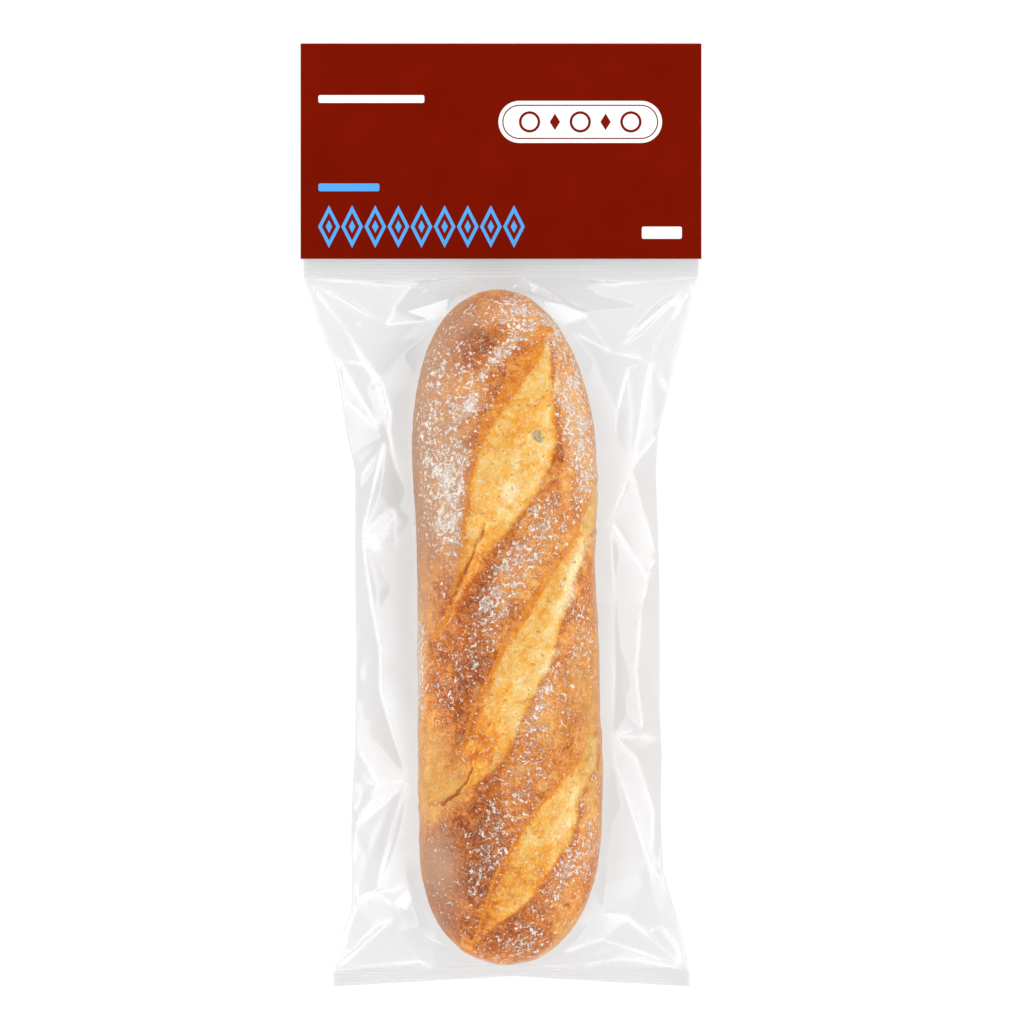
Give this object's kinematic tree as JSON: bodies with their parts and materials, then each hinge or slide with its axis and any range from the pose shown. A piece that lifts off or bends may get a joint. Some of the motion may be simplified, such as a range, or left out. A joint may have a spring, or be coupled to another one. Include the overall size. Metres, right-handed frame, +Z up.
{
  "type": "bagged baguette",
  "caption": "Short baguette in a clear pillow bag, crimped shut at both ends, with a folded card header over its top seal. It lies on its back.",
  "frame": {"origin": "on the surface that the pack lies on, under the middle of its outline", "axes": "+Z up, out of the side that shows; +Y along the loaf, towards the header card; +X to the right as seen from above"},
  "size_m": [0.1544, 0.363, 0.0505],
  "materials": {
    "clear_film": "clear glossy film, creased",
    "header_board": "dark red printed board, satin, with white and light blue print",
    "bread_crust": "floured golden brown crust with pale slashes"
  },
  "bodies": {
    "root": {"bag": "clear_film", "header_card": "header_board"}
  },
  "joints": []
}
